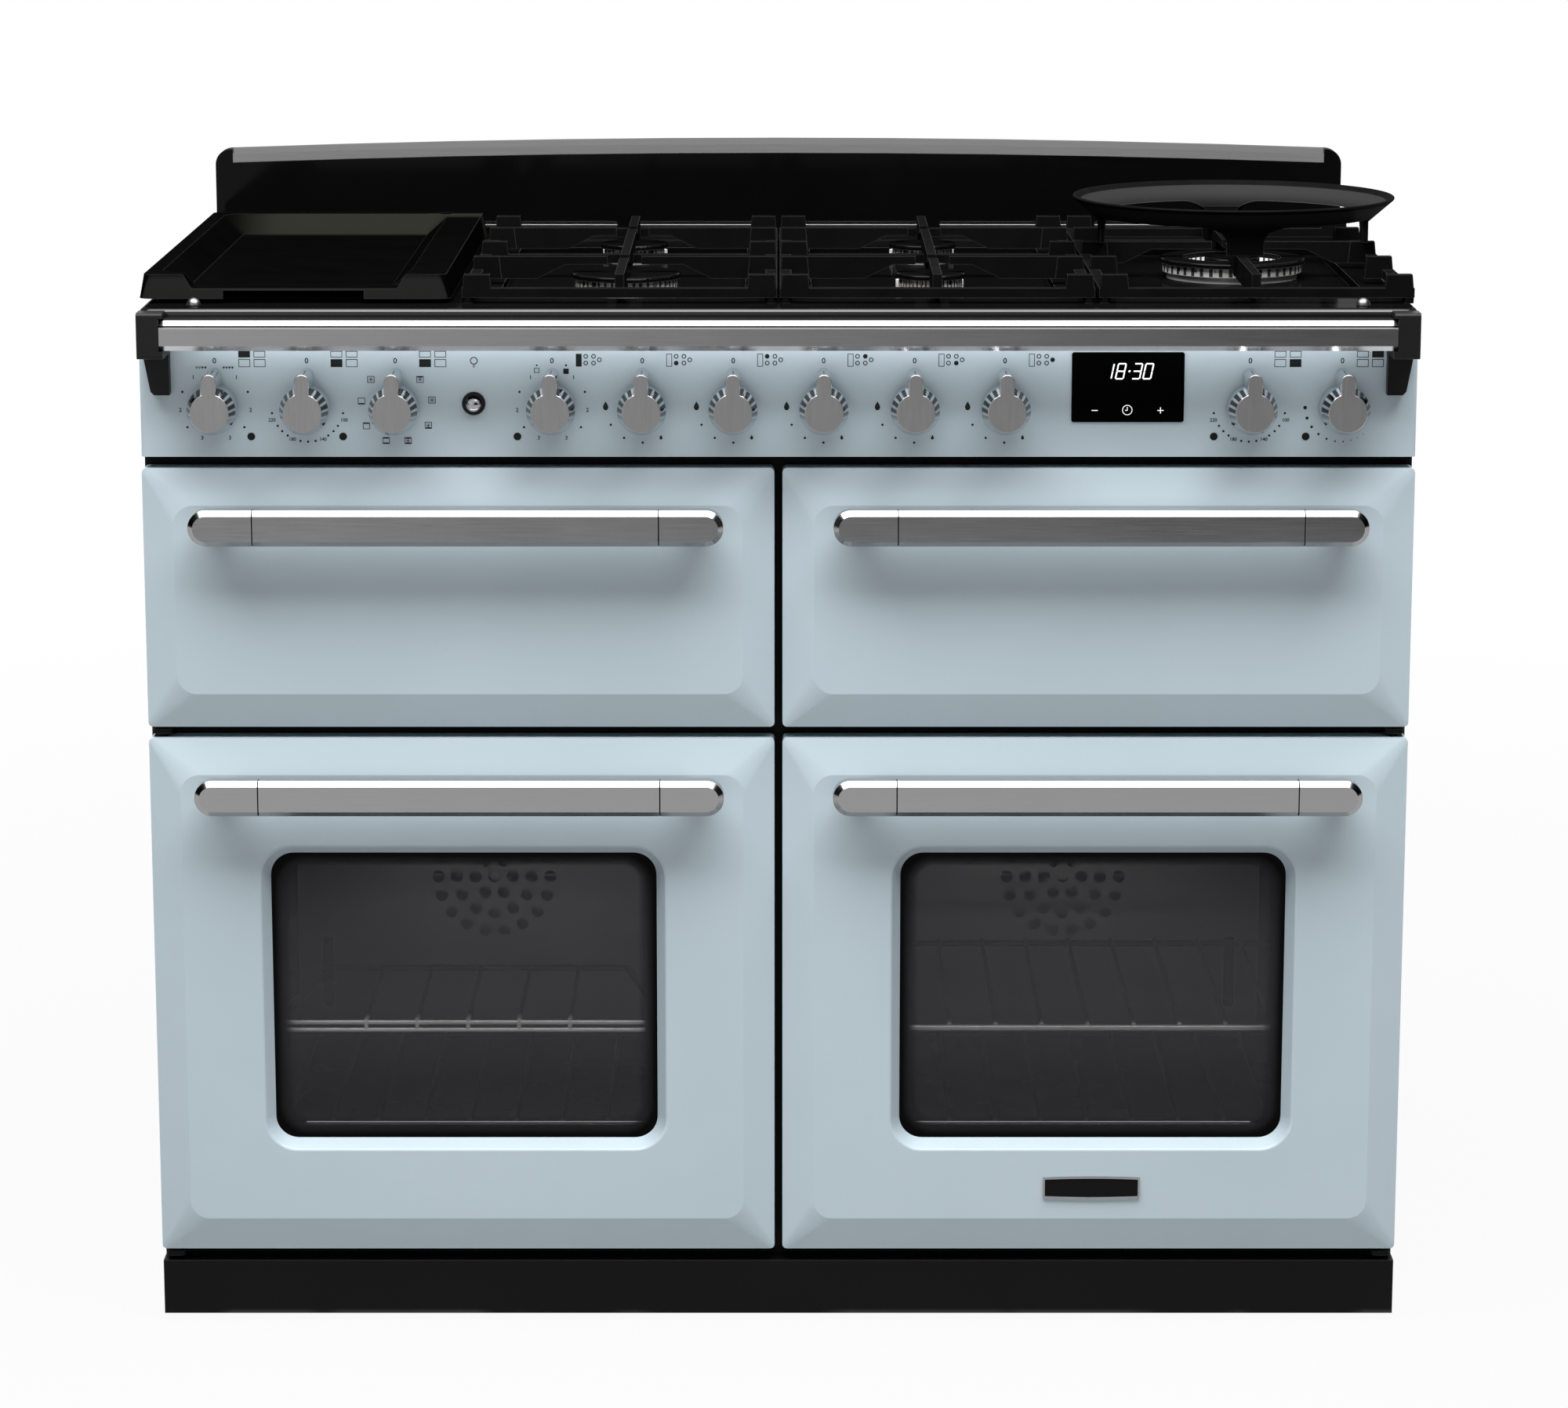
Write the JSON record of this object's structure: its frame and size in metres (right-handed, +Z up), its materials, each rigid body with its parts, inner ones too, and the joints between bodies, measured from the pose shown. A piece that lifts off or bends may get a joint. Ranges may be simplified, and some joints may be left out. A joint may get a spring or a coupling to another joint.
{
  "type": "range cooker",
  "caption": "Wide dual-fuel range cooker with side-hinged ovens, glide-out grill, proving drawer, gas hob, griddle, wok ring, handrail and splashback.",
  "frame": {"origin": "middle of the footprint on the floor", "axes": "+X to the right seen from the front, +Y to the back, +Z up"},
  "size_m": [1.1019, 0.65, 0.997],
  "materials": {
    "blue_enamel": "satin enamel",
    "black_paint": "satin",
    "black_enamel": "gloss enamel",
    "oven_enamel": "gloss enamel",
    "plated_sheet": "zinc plated",
    "foot_plastic": "matte",
    "dark_glass": "tinted",
    "brushed_steel": "brushed",
    "steel_sheet": "plain",
    "steel_wire": "bright plated",
    "element_steel": "heat darkened",
    "black_plastic": "satin",
    "ceramic_glass": "black",
    "cast_iron": "matte enamel",
    "burner_aluminium": "cast",
    "white_ceramic": "glazed",
    "chrome": "satin chrome",
    "clock_glass": "gloss black",
    "brass": "cast"
  },
  "bodies": {
    "cabinet": {"side_panels": "black_paint", "back_panel": "plated_sheet", "base_tray": "plated_sheet", "front_frame": "black_paint", "oven_liners": "oven_enamel", "upper_chambers": "oven_enamel", "plinth": "black_paint", "levelling_feet": "foot_plastic", "hinge_brackets": "black_paint", "runner_rails": "plated_sheet", "grill_element": "element_steel", "handrail": "brushed_steel", "handrail_brackets": "black_plastic", "hob_tray": "black_enamel", "splashback": "black_enamel", "splashback_trim": "brushed_steel", "ceramic_zone": "ceramic_glass", "pan_supports": "cast_iron", "burner_cups": "burner_aluminium", "burner_heads": "burner_aluminium", "burner_caps": "black_enamel", "burner_electrodes": "white_ceramic", "fascia": "blue_enamel", "fascia_fittings": "black_plastic", "clock_display": "clock_glass", "control_switches": "black_plastic", "gas_rail": "brass", "fan_units": "steel_sheet", "oven_racks": "steel_wire"},
    "left_door": {"oven_door_left": "blue_enamel", "door_liner_left": "oven_enamel", "door_glass_left": "dark_glass", "oven_handle_left": "brushed_steel", "door_rack": "steel_wire"},
    "right_door": {"oven_door_right": "blue_enamel", "door_liner_right": "oven_enamel", "door_glass_right": "dark_glass", "oven_handle_right": "brushed_steel"},
    "grill": {"grill_front": "blue_enamel", "grill_handle": "brushed_steel", "grill_carriage": "steel_wire"},
    "drawer": {"drawer_front": "blue_enamel", "drawer_handle": "brushed_steel", "drawer_box": "steel_sheet"},
    "griddle": {"griddle_plate": "cast_iron"},
    "wok_cradle": {"wok_ring": "cast_iron"},
    "lamp_push": {"lamp_button": "chrome"},
    "fan_left": {"oven_fan_left": "steel_sheet"},
    "fan_right": {"oven_fan_right": "steel_sheet"},
    "knob_grill_body": {"knob_grill": "chrome"},
    "knob_oven_left_body": {"knob_oven_left": "chrome"},
    "knob_function_body": {"knob_function": "chrome"},
    "knob_griddle_body": {"knob_griddle": "chrome"},
    "knob_gas_front_left_body": {"knob_gas_front_left": "chrome"},
    "knob_gas_rear_left_body": {"knob_gas_rear_left": "chrome"},
    "knob_gas_rear_right_body": {"knob_gas_rear_right": "chrome"},
    "knob_gas_front_right_body": {"knob_gas_front_right": "chrome"},
    "knob_gas_wok_body": {"knob_gas_wok": "chrome"},
    "knob_oven_right_body": {"knob_oven_right": "chrome"},
    "knob_drawer_body": {"knob_drawer": "chrome"}
  },
  "joints": [
    {"name": "left_door_hinge", "type": "hinge", "parent": "cabinet", "child": "left_door", "pos_m": [-0.534, -0.264, 0.299], "axis": [0, 0, -1], "range_deg": [0, 110]},
    {"name": "right_door_hinge", "type": "hinge", "parent": "cabinet", "child": "right_door", "pos_m": [0.534, -0.264, 0.299], "axis": [0, 0, 1], "range_deg": [0, 110]},
    {"name": "grill_slide", "type": "slide", "parent": "cabinet", "child": "grill", "axis": [0, -1, 0], "range_m": [0, 0.33]},
    {"name": "drawer_slide", "type": "slide", "parent": "cabinet", "child": "drawer", "axis": [0, -1, 0], "range_m": [0, 0.33]},
    {"name": "knob_grill_turn", "type": "hinge", "parent": "cabinet", "child": "knob_grill_body", "pos_m": [-0.4805, -0.275, 0.82], "axis": [0, -1, 0], "range_deg": [-150, 150]},
    {"name": "knob_oven_left_turn", "type": "hinge", "parent": "cabinet", "child": "knob_oven_left_body", "pos_m": [-0.402, -0.275, 0.82], "axis": [0, -1, 0], "range_deg": [-270, 0]},
    {"name": "knob_function_turn", "type": "hinge", "parent": "cabinet", "child": "knob_function_body", "pos_m": [-0.3265, -0.275, 0.82], "axis": [0, -1, 0], "range_deg": [-320, 0]},
    {"name": "knob_griddle_turn", "type": "hinge", "parent": "cabinet", "child": "knob_griddle_body", "pos_m": [-0.193, -0.275, 0.82], "axis": [0, -1, 0], "range_deg": [-150, 150]},
    {"name": "knob_gas_front_left_turn", "type": "hinge", "parent": "cabinet", "child": "knob_gas_front_left_body", "pos_m": [-0.116, -0.275, 0.82], "axis": [0, -1, 0], "range_deg": [0, 215]},
    {"name": "knob_gas_rear_left_turn", "type": "hinge", "parent": "cabinet", "child": "knob_gas_rear_left_body", "pos_m": [-0.0385, -0.275, 0.82], "axis": [0, -1, 0], "range_deg": [0, 215]},
    {"name": "knob_gas_rear_right_turn", "type": "hinge", "parent": "cabinet", "child": "knob_gas_rear_right_body", "pos_m": [0.0385, -0.275, 0.82], "axis": [0, -1, 0], "range_deg": [0, 215]},
    {"name": "knob_gas_front_right_turn", "type": "hinge", "parent": "cabinet", "child": "knob_gas_front_right_body", "pos_m": [0.116, -0.275, 0.82], "axis": [0, -1, 0], "range_deg": [0, 215]},
    {"name": "knob_gas_wok_turn", "type": "hinge", "parent": "cabinet", "child": "knob_gas_wok_body", "pos_m": [0.193, -0.275, 0.82], "axis": [0, -1, 0], "range_deg": [0, 215]},
    {"name": "knob_oven_right_turn", "type": "hinge", "parent": "cabinet", "child": "knob_oven_right_body", "pos_m": [0.402, -0.275, 0.82], "axis": [0, -1, 0], "range_deg": [-270, 0]},
    {"name": "knob_drawer_turn", "type": "hinge", "parent": "cabinet", "child": "knob_drawer_body", "pos_m": [0.4805, -0.275, 0.82], "axis": [0, -1, 0], "range_deg": [-270, 0]},
    {"name": "lamp_push_slide", "type": "slide", "parent": "cabinet", "child": "lamp_push", "axis": [0, 1, 0], "range_m": [0, 0.003], "stiffness_N_per_m": 300, "springref_m": -0.003},
    {"name": "fan_left_spin", "type": "hinge", "parent": "cabinet", "child": "fan_left", "pos_m": [-0.27425, 0.185, 0.3], "axis": [0, -1, 0], "continuous": true},
    {"name": "fan_right_spin", "type": "hinge", "parent": "cabinet", "child": "fan_right", "pos_m": [0.27425, 0.185, 0.3], "axis": [0, -1, 0], "continuous": true},
    {"name": "griddle_lift", "type": "slide", "parent": "cabinet", "child": "griddle", "axis": [0, 0, 1], "range_m": [0, 0.25]},
    {"name": "wok_ring_lift", "type": "slide", "parent": "cabinet", "child": "wok_cradle", "axis": [0, 0, 1], "range_m": [0, 0.25]}
  ]
}
